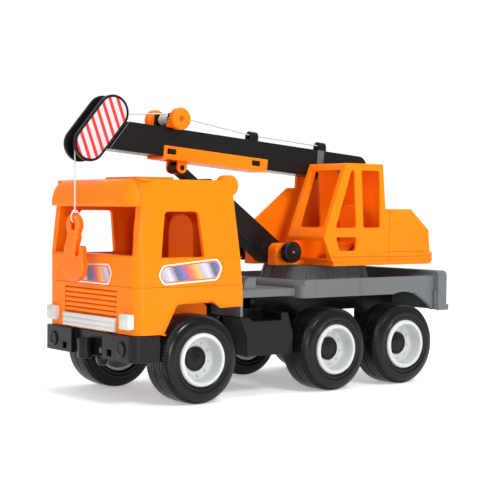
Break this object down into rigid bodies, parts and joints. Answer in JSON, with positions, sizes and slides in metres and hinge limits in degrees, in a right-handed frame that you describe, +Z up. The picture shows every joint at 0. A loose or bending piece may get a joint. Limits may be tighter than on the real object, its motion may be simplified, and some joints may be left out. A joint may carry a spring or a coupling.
{
  "type": "toy crane truck",
  "caption": "Toy crane truck: cab-over lorry on three axles with a slewing crane, telescopic boom, winch and hook.",
  "frame": {"origin": "centre of the ground contact rectangle under the whole truck", "axes": "+Z up, +Y towards the rear, +X towards the truck's left side"},
  "size_m": [0.182, 0.389, 0.276],
  "materials": {
    "orange_plastic": "satin",
    "black_plastic": "satin",
    "grey_plastic": "satin",
    "rim_plastic": "satin",
    "tyre_plastic": "satin",
    "white_plastic": "glossy",
    "axle_steel": "brushed",
    "rope_cord": "matte"
  },
  "bodies": {
    "chassis": {"chassis_frame": "black_plastic", "bumper": "black_plastic", "tow_peg": "black_plastic", "fog_lamps": "black_plastic", "cab_shell": "orange_plastic", "cab_floor": "black_plastic", "dashboard": "orange_plastic", "cab_seats": "orange_plastic", "grille": "orange_plastic", "grille_strip": "white_plastic", "headlights": "white_plastic", "steering_wheel": "black_plastic", "deck": "grey_plastic", "tail_board": "grey_plastic", "pedestal": "grey_plastic", "slew_pin": "black_plastic", "side_box_left": "black_plastic", "side_box_right": "black_plastic", "deck_screws": "axle_steel"},
    "front_axle": {"axle_front": "axle_steel", "tyres_front": "tyre_plastic", "rims_front": "rim_plastic", "hub_caps_front": "black_plastic"},
    "middle_axle": {"axle_middle": "axle_steel", "tyres_middle": "tyre_plastic", "rims_middle": "rim_plastic", "hub_caps_middle": "black_plastic"},
    "rear_axle": {"axle_rear": "axle_steel", "tyres_rear": "tyre_plastic", "rims_rear": "rim_plastic", "hub_caps_rear": "black_plastic"},
    "upper": {"upper_base": "orange_plastic", "cheek_plate": "orange_plastic", "crane_cabin": "orange_plastic", "engine_hood": "orange_plastic", "operator_seat": "orange_plastic", "boom_pin": "axle_steel", "strut_pin": "axle_steel", "strut_knobs": "black_plastic"},
    "boom": {"boom_outer": "black_plastic", "boom_bracket": "orange_plastic", "bracket_latches": "black_plastic", "winch_posts": "black_plastic", "rope_guides": "black_plastic", "boom_strap": "grey_plastic", "strut_top_pin": "axle_steel", "rope_run": "rope_cord", "rope_tail": "rope_cord"},
    "head": {"boom_inner": "black_plastic", "head_plates": "black_plastic", "head_pins": "axle_steel", "head_sheave": "black_plastic", "rope_head": "rope_cord"},
    "winch": {"winch_drum": "orange_plastic", "winch_knobs": "orange_plastic"},
    "fall": {"rope_fall": "rope_cord"},
    "hook": {"hook": "orange_plastic"},
    "sleeve": {"strut_sleeve": "black_plastic"},
    "rod": {"strut_rod": "black_plastic"}
  },
  "joints": [
    {"name": "front_axle_spin", "type": "hinge", "parent": "chassis", "child": "front_axle", "pos_m": [0, -0.1065, 0.04], "axis": [1, 0, 0], "continuous": true},
    {"name": "middle_axle_spin", "type": "hinge", "parent": "chassis", "child": "middle_axle", "pos_m": [0, 0.0491, 0.04], "axis": [1, 0, 0], "continuous": true},
    {"name": "rear_axle_spin", "type": "hinge", "parent": "chassis", "child": "rear_axle", "pos_m": [0, 0.1397, 0.04], "axis": [1, 0, 0], "continuous": true},
    {"name": "crane_slew", "type": "hinge", "parent": "chassis", "child": "upper", "pos_m": [0, 0.0935, 0.12], "axis": [0, 0, 1], "continuous": true},
    {"name": "boom_lift", "type": "hinge", "parent": "upper", "child": "boom", "pos_m": [0, 0.1115, 0.211], "axis": [-1, 0, 0], "range_deg": [0, 25]},
    {"name": "boom_extend", "type": "slide", "parent": "boom", "child": "head", "axis": [0, -0.9964, 0.0845], "range_m": [0, 0.09], "deforming": ["rope_run"]},
    {"name": "rope_swing", "type": "hinge", "parent": "head", "child": "fall", "pos_m": [0, -0.18178, 0.23669], "axis": [-1, 0, 0], "range_deg": [-14, 1]},
    {"name": "hook_hoist", "type": "slide", "parent": "fall", "child": "hook", "axis": [0, 0, 1], "range_m": [-0.045, 0.045], "deforming": ["rope_fall"]},
    {"name": "winch_turn", "type": "hinge", "parent": "boom", "child": "winch", "pos_m": [0, -0.08777, 0.25641], "axis": [1, 0, 0], "range_deg": [-500, 780]},
    {"name": "strut_swing", "type": "hinge", "parent": "upper", "child": "sleeve", "pos_m": [0, 0.0325, 0.1315], "axis": [-1, 0, 0], "range_deg": [-1, 26]},
    {"name": "strut_slide", "type": "slide", "parent": "sleeve", "child": "rod", "axis": [0, -0.8079, 0.5893], "range_m": [-0.001, 0.05]}
  ],
  "couplings": [
    {"joint": "rope_swing", "follows": "boom_lift", "ratio": -0.52},
    {"joint": "strut_swing", "follows": "boom_lift", "ratio": 0.98204},
    {"joint": "strut_slide", "follows": "boom_lift", "m_per_rad": 0.11122},
    {"joint": "winch_turn", "follows": "hook_hoist", "rad_per_m": -170}
  ]
}
